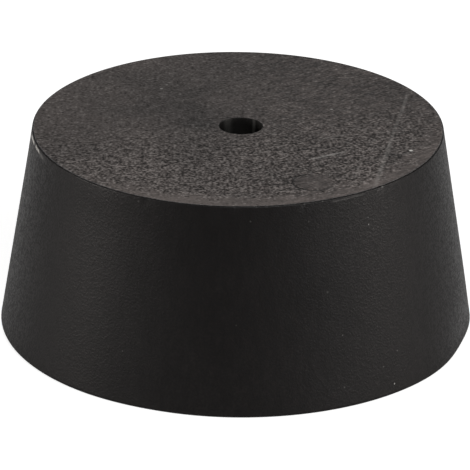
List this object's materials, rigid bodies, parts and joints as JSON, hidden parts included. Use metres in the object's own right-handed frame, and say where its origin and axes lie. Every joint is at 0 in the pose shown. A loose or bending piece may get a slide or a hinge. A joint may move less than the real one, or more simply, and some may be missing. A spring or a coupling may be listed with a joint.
{
  "type": "rubber bung",
  "caption": "Solid tapered round rubber bung with a straight small bore through its middle, for closing a vessel's neck round a tube.",
  "frame": {"origin": "centre of the large end's flat face, which the bung stands on", "axes": "+Z along the bore, from the large end up to the small end; +X across the bung, on the side that the bore's core pin stands off to"},
  "size_m": [0.0558, 0.0558, 0.0245],
  "materials": {
    "rubber": "black moulded rubber, satin taper, fine mottled grain on the flat ends, light scuffs and dust specks"
  },
  "bodies": {
    "root": {"bung": "rubber"}
  },
  "joints": []
}
